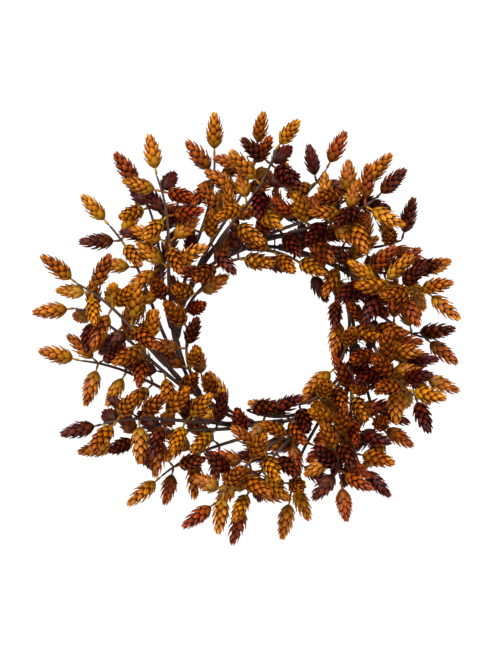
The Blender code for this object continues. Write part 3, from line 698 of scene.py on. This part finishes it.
def cone_tree():
    """Grows a hop cone on each point, from its aim, side, length and width."""
    tree = bpy.data.node_groups.new("hop cones", "GeometryNodeTree")
    socket = tree.interface.new_socket
    socket("Places", in_out="INPUT", socket_type="NodeSocketGeometry")
    for name in ("Bract", "Core", "Sleeve"):
        socket(name, in_out="INPUT", socket_type="NodeSocketObject")
    for name in ("Whorls", "Bracts a Whorl", "Seed"):
        socket(name, in_out="INPUT", socket_type="NodeSocketInt")
    for name in ("Bract Length", "Top Bract Length", "Bract Width", "Bract Flare"):
        socket(name, in_out="INPUT", socket_type="NodeSocketFloat")
    socket("Material", in_out="INPUT", socket_type="NodeSocketMaterial")
    socket("Cones", in_out="OUTPUT", socket_type="NodeSocketGeometry")
    given = add(tree, "NodeGroupInput").outputs
    spots = add(tree, "GeometryNodeMeshToPoints", {"Mesh": given["Places"]})
    aim = add(tree, "GeometryNodeInputNamedAttribute", {"Name": "aim"}, data_type="FLOAT_VECTOR")
    side = add(tree, "GeometryNodeInputNamedAttribute", {"Name": "side"}, data_type="FLOAT_VECTOR")
    length = add(tree, "GeometryNodeInputNamedAttribute", {"Name": "length"}, data_type="FLOAT")
    width = add(tree, "GeometryNodeInputNamedAttribute", {"Name": "width"}, data_type="FLOAT")

    # One point for each bract: which whorl it is in, and where round the whorl.
    amount = add(tree, "ShaderNodeMath", {0: given["Whorls"], 1: given["Bracts a Whorl"]},
                 operation="MULTIPLY")
    many = add(tree, "GeometryNodeDuplicateElements", {"Geometry": spots, "Amount": amount},
               domain="POINT")
    number = many.outputs["Duplicate Index"]
    whorl = add(tree, "ShaderNodeMath", {0: number, 1: given["Bracts a Whorl"]}, operation="DIVIDE")
    whorl = add(tree, "ShaderNodeMath", {0: whorl}, operation="FLOOR")
    last = add(tree, "ShaderNodeMath", {0: given["Whorls"], 1: 1.0}, operation="SUBTRACT")
    share = add(tree, "ShaderNodeMath", {0: whorl, 1: last}, operation="DIVIDE")
    seed = given["Seed"]
    wobble = add(tree, "FunctionNodeRandomValue", {2: -1.0, 3: 1.0, 8: seed}, data_type="FLOAT")
    wobble = wobble.outputs[1]
    next_seed = add(tree, "ShaderNodeMath", {0: seed, 1: 17.0}, operation="ADD")
    swing = add(tree, "FunctionNodeRandomValue", {2: -1.0, 3: 1.0, 8: next_seed}, data_type="FLOAT")
    swing = swing.outputs[1]
    half_turn = add(tree, "ShaderNodeMath", {0: whorl, 1: 0.5}, operation="MULTIPLY")
    slot_round = add(tree, "ShaderNodeMath", {0: number, 1: half_turn}, operation="ADD")
    pitch = add(tree, "ShaderNodeMath", {0: math.tau, 1: given["Bracts a Whorl"]}, operation="DIVIDE")
    turn = add(tree, "ShaderNodeMath", {0: slot_round, 1: pitch}, operation="MULTIPLY")
    turn = add(tree, "ShaderNodeMath", {0: swing, 1: BRACT_SWING, 2: turn}, operation="MULTIPLY_ADD")
    radial = add(tree, "ShaderNodeVectorRotate", {"Vector": side, "Axis": aim, "Angle": turn},
                 rotation_type="AXIS_ANGLE")

    # A bract's own length, where it starts up the cone and where its tip ends.
    own = add(tree, "ShaderNodeMapRange",
              {"Value": share, "To Min": given["Bract Length"], "To Max": given["Top Bract Length"]})
    stretch = add(tree, "ShaderNodeMath", {0: wobble, 1: BRACT_STRETCH, 2: 1.0},
                  operation="MULTIPLY_ADD")
    own = add(tree, "ShaderNodeMath", {0: own, 1: stretch}, operation="MULTIPLY")
    room = add(tree, "ShaderNodeMath", {0: length, 1: given["Top Bract Length"]}, operation="SUBTRACT")
    start_up = add(tree, "ShaderNodeMath", {0: share, 1: room}, operation="MULTIPLY")
    tip_up = add(tree, "ShaderNodeMath", {0: own, 1: BRACT_RISE_SHARE, 2: start_up},
                 operation="MULTIPLY_ADD")
    start_share = add(tree, "ShaderNodeMath", {0: start_up, 1: length}, operation="DIVIDE")
    tip_share = add(tree, "ShaderNodeMath", {0: tip_up, 1: length}, operation="DIVIDE")
    curved = []
    for where in (start_share, tip_share):
        curve = add(tree, "ShaderNodeFloatCurve", {"Value": where})
        points = curve.mapping.curves[0].points
        points[0].location, points[1].location = CONE_OUTLINE[0], CONE_OUTLINE[-1]
        for spot in CONE_OUTLINE[1:-1]:
            points.new(*spot)
        curve.mapping.update()
        curved.append(add(tree, "ShaderNodeMath", {0: curve, 1: width}, operation="MULTIPLY"))
    start_out = add(tree, "ShaderNodeMath", {0: curved[0], 1: BRACT_ROOT_SHARE}, operation="MULTIPLY")
    tip_out = add(tree, "ShaderNodeMath", {0: curved[1], 1: given["Bract Flare"]}, operation="MULTIPLY")
    tip_out = add(tree, "ShaderNodeMath", {0: wobble, 1: TIP_WOBBLE, 2: tip_out},
                  operation="MULTIPLY_ADD")
    rise = add(tree, "ShaderNodeMath", {0: tip_up, 1: start_up}, operation="SUBTRACT")
    spread = add(tree, "ShaderNodeMath", {0: tip_out, 1: start_out}, operation="SUBTRACT")
    up = add(tree, "ShaderNodeVectorMath", {0: aim, "Scale": rise}, operation="SCALE")
    out = add(tree, "ShaderNodeVectorMath", {0: radial, "Scale": spread}, operation="SCALE")
    course = add(tree, "ShaderNodeVectorMath", {0: up, 1: out}, operation="ADD")
    lift = add(tree, "ShaderNodeVectorMath", {0: aim, "Scale": start_up}, operation="SCALE")
    push = add(tree, "ShaderNodeVectorMath", {0: radial, "Scale": start_out}, operation="SCALE")
    offset = add(tree, "ShaderNodeVectorMath", {0: lift, 1: push}, operation="ADD")
    facing = add(tree, "FunctionNodeAxesToRotation", {"Primary Axis": course, "Secondary Axis": radial},
                 primary_axis="Z", secondary_axis="X")
    slim = add(tree, "ShaderNodeMapRange",
               {"Value": tip_share, "From Min": 0.35, "To Min": 1.0, "To Max": 0.55})
    fat = add(tree, "ShaderNodeMath", {0: width, 1: CONE_RADIUS}, operation="DIVIDE")
    across = add(tree, "ShaderNodeMath", {0: slim, 1: given["Bract Width"]}, operation="MULTIPLY")
    across = add(tree, "ShaderNodeMath", {0: across, 1: fat}, operation="MULTIPLY")
    size = add(tree, "ShaderNodeCombineXYZ", {0: own, 1: across, 2: own})
    shade = add(tree, "FunctionNodeRandomValue", {2: 0.0, 3: 1.0, 8: seed}, data_type="FLOAT")
    kept = many
    for label, value in (("height", share), ("shade", shade.outputs[1])):
        kept = add(tree, "GeometryNodeStoreNamedAttribute",
                   {"Geometry": kept, "Name": label, "Value": value}, domain="POINT", data_type="FLOAT")
    bract = add(tree, "GeometryNodeObjectInfo", {"Object": given["Bract"]}).outputs["Geometry"]
    turned = add(tree, "GeometryNodeInstanceOnPoints",
                 {"Points": kept, "Instance": bract, "Rotation": facing, "Scale": size})
    bracts = add(tree, "GeometryNodeTranslateInstances",
                 {"Instances": turned, "Translation": offset, "Local Space": False})

    # The core that the whorls are threaded on, and the sleeve below.
    upright = add(tree, "FunctionNodeAxesToRotation", {"Primary Axis": aim, "Secondary Axis": side},
                  primary_axis="Z", secondary_axis="X")
    thick = add(tree, "ShaderNodeMath", {0: width, 1: CORE_WIDTH_SHARE}, operation="MULTIPLY")
    tall = add(tree, "ShaderNodeMath", {0: length, 1: CORE_LENGTH_SHARE}, operation="MULTIPLY")
    core_size = add(tree, "ShaderNodeCombineXYZ", {0: thick, 1: thick, 2: tall})
    core = add(tree, "GeometryNodeObjectInfo", {"Object": given["Core"]}).outputs["Geometry"]
    cores = add(tree, "GeometryNodeInstanceOnPoints",
                {"Points": spots, "Instance": core, "Rotation": upright, "Scale": core_size})
    sleeve = add(tree, "GeometryNodeObjectInfo", {"Object": given["Sleeve"]}).outputs["Geometry"]
    sleeves = add(tree, "GeometryNodeInstanceOnPoints",
                  {"Points": spots, "Instance": sleeve, "Rotation": upright})
    everything = add(tree, "GeometryNodeJoinGeometry")
    for part in (sleeves, cores, bracts):
        tree.links.new(part.outputs[0], everything.inputs[0])
    real = add(tree, "GeometryNodeRealizeInstances", {"Geometry": everything})
    real = add(tree, "GeometryNodeSetMaterial", {"Geometry": real, "Material": given["Material"]})
    add(tree, "NodeGroupOutput", {0: real})
    return tree


def cone_material(name, tint):
    """Injection-moulded soft plastic.

    It has a satin skin with fine veins, painted shade darkening each bract towards its root and
    along its edges, and tips that are rubbed lighter.
    """
    material, tree = blank_material(f"moulded_satin_plastic_{name}")
    place = add(tree, "ShaderNodeTexCoord").outputs["Object"]
    blade = add(tree, "ShaderNodeAttribute", {}, attribute_name="blade").outputs["Vector"]
    blade = add(tree, "ShaderNodeSeparateXYZ", {0: blade}).outputs
    height = add(tree, "ShaderNodeAttribute", {}, attribute_name="height").outputs["Fac"]
    shade = add(tree, "ShaderNodeAttribute", {}, attribute_name="shade").outputs["Fac"]
    pick = add(tree, "ShaderNodeAttribute", {}, attribute_name="pick").outputs["Fac"]
    blotch = add(tree, "ShaderNodeTexNoise", {"Vector": place, "Scale": 1 / 0.006, "Detail": 2.0})
    # Painted shade: each bract darkens from its body colour to the low colour towards its root, down in
    # the crevices of the cone.
    run = add(tree, "ShaderNodeMapRange", {"Value": blade[0], "From Min": 0.2, "From Max": 0.85})
    tone = add(tree, "ShaderNodeMix", {0: run, 6: linear(tint["low"]), 7: linear(tint["body"])},
               data_type="RGBA").outputs[2]
    worn = add(tree, "ShaderNodeMath", {0: blotch, 1: shade}, operation="MULTIPLY")
    worn = add(tree, "ShaderNodeMath", {0: worn, 1: run}, operation="MULTIPLY")
    worn = add(tree, "ShaderNodeMapRange", {"Value": worn, "From Min": 0.05, "From Max": 0.5})
    tone = add(tree, "ShaderNodeMix", {0: worn, 6: tone, 7: linear(tint["tip"])},
               data_type="RGBA").outputs[2]

    # The lowest whorl, and the sleeve below it, keep the green of the uncoloured moulding.
    low_whorl = add(tree, "ShaderNodeMapRange",
                    {"Value": height, "From Min": 0.02, "From Max": 0.22, "To Min": 0.74, "To Max": 0.0})
    greened = add(tree, "ShaderNodeMath", {0: run, 1: 0.6, 2: 0.4}, operation="MULTIPLY_ADD")
    greened = add(tree, "ShaderNodeMath", {0: low_whorl, 1: greened}, operation="MULTIPLY")
    tone = add(tree, "ShaderNodeMix", {0: greened, 6: tone, 7: linear(tint["whorl"])},
               data_type="RGBA").outputs[2]

    # Painted shade darkens a bract's edges, where the bracts overlap, and no two bracts or cones are
    # toned alike.
    edge = add(tree, "ShaderNodeMath", {0: blade[1]}, operation="ABSOLUTE")
    edge = add(tree, "ShaderNodeMapRange",
               {"Value": edge, "From Min": 0.62, "From Max": 1.0, "To Max": 0.34})
    tone = add(tree, "ShaderNodeMix", {0: edge, 6: tone, 7: linear(tint["low"])},
               data_type="RGBA").outputs[2]
    bright = add(tree, "ShaderNodeMapRange", {"Value": shade, "To Min": 0.86, "To Max": 1.12})
    glowing = add(tree, "ShaderNodeMapRange", {"Value": pick, "To Min": 0.78, "To Max": 1.12})
    bright = add(tree, "ShaderNodeMath", {0: bright, 1: glowing}, operation="MULTIPLY")
    hue = add(tree, "ShaderNodeMapRange", {"Value": pick, "To Min": 0.489, "To Max": 0.507})
    tone = add(tree, "ShaderNodeHueSaturation",
               {"Hue": hue, "Saturation": 1.05, "Value": bright, "Color": tone})

    vein = add(tree, "ShaderNodeMath", {0: blade[1], 1: 20.0}, operation="MULTIPLY")
    vein = add(tree, "ShaderNodeMath", {0: vein}, operation="SINE")
    grain = add(tree, "ShaderNodeTexNoise", {"Vector": place, "Scale": 1 / 0.0007, "Detail": 2.0})
    skin = add(tree, "ShaderNodeMath", {0: vein, 1: 0.35, 2: grain}, operation="MULTIPLY_ADD")
    relief = add(tree, "ShaderNodeBump", {"Height": skin, "Strength": 0.45, "Distance": 0.0003})
    gloss = add(tree, "ShaderNodeMapRange", {"Value": blotch, "To Min": 0.34, "To Max": 0.56})
    plastic = add(tree, "ShaderNodeBsdfPrincipled", {
        "Base Color": tone, "Roughness": gloss, "Normal": relief, "Specular IOR Level": 0.28})
    add(tree, "ShaderNodeOutputMaterial", {"Surface": plastic})
    return material


def places_mesh(cones, rng):
    """One bare point for each cone, at the cone's base, with what the cone tree reads."""
    mesh = bpy.data.meshes.new("cone places")
    mesh.from_pydata([base + aim * STALK_LENGTH for base, aim, length in cones], [], [])
    aims, sides = [], []
    for base, aim, length in cones:
        side = aim.orthogonal().normalized()
        side = Matrix.Rotation(rng.uniform(0.0, math.tau), 3, aim) @ side
        aims += list(aim)
        sides += list(side)
    lengths = [length for base, aim, length in cones]
    widths = [CONE_RADIUS * length / CONE_LENGTH * rng.uniform(*CONE_WIDTHS) for length in lengths]
    picks = [rng.random() for cone in cones]
    for label, values in (("aim", aims), ("side", sides)):
        mesh.attributes.new(label, "FLOAT_VECTOR", "POINT").data.foreach_set("vector", values)
    for label, values in (("length", lengths), ("width", widths), ("pick", picks)):
        mesh.attributes.new(label, "FLOAT", "POINT").data.foreach_set("value", values)
    return mesh


hop_cones = cone_tree()
templates = {}
# The core takes the colour of a bract's root, which is painted shade, and the sleeve a colour near the
# bract's body.
for label, mesh in (
        ("Bract", bract_mesh()),
        ("Core", turned_mesh("core", CORE_PROFILE, CORE_SIDES, paleness=0.0)),
        ("Sleeve", turned_mesh("sleeve", SLEEVE_PROFILE, SLEEVE_SIDES, SLEEVE_PALENESS))):
    templates[label] = bpy.data.objects.new(label, mesh)
    bpy.context.collection.objects.link(templates[label])

rng = random.Random(RANDOM_SEED)
names, weights = list(TINTS), [tint["share"] for tint in TINTS.values()]
plastics = {name: cone_material(name, tint) for name, tint in TINTS.items()}
for body, twigs in twig_groups.items():
    by_tint = {name: [] for name in names}
    nodes_of_tint = {name: [] for name in names}
    for kind, spray in twigs:
        node = f"twig_{kind}_{spray + 1:02d}"
        for cone in cones_on(node):
            name = rng.choices(names, weights)[0]
            by_tint[name].append(cone)
            if node not in nodes_of_tint[name]:
                nodes_of_tint[name].append(node)
    for number, (name, cones) in enumerate(by_tint.items()):
        if not cones:
            continue
        cluster = grown(f"cones_{name}_{body}", places_mesh(cones, rng), hop_cones, {
            **templates, **CONE_SIZES, "Seed": BRACT_SEED + number, "Material": plastics[name]})
        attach(cluster, body)
        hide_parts(*nodes_of_tint[name])
for template in templates.values():
    bpy.data.objects.remove(template, do_unlink=True)
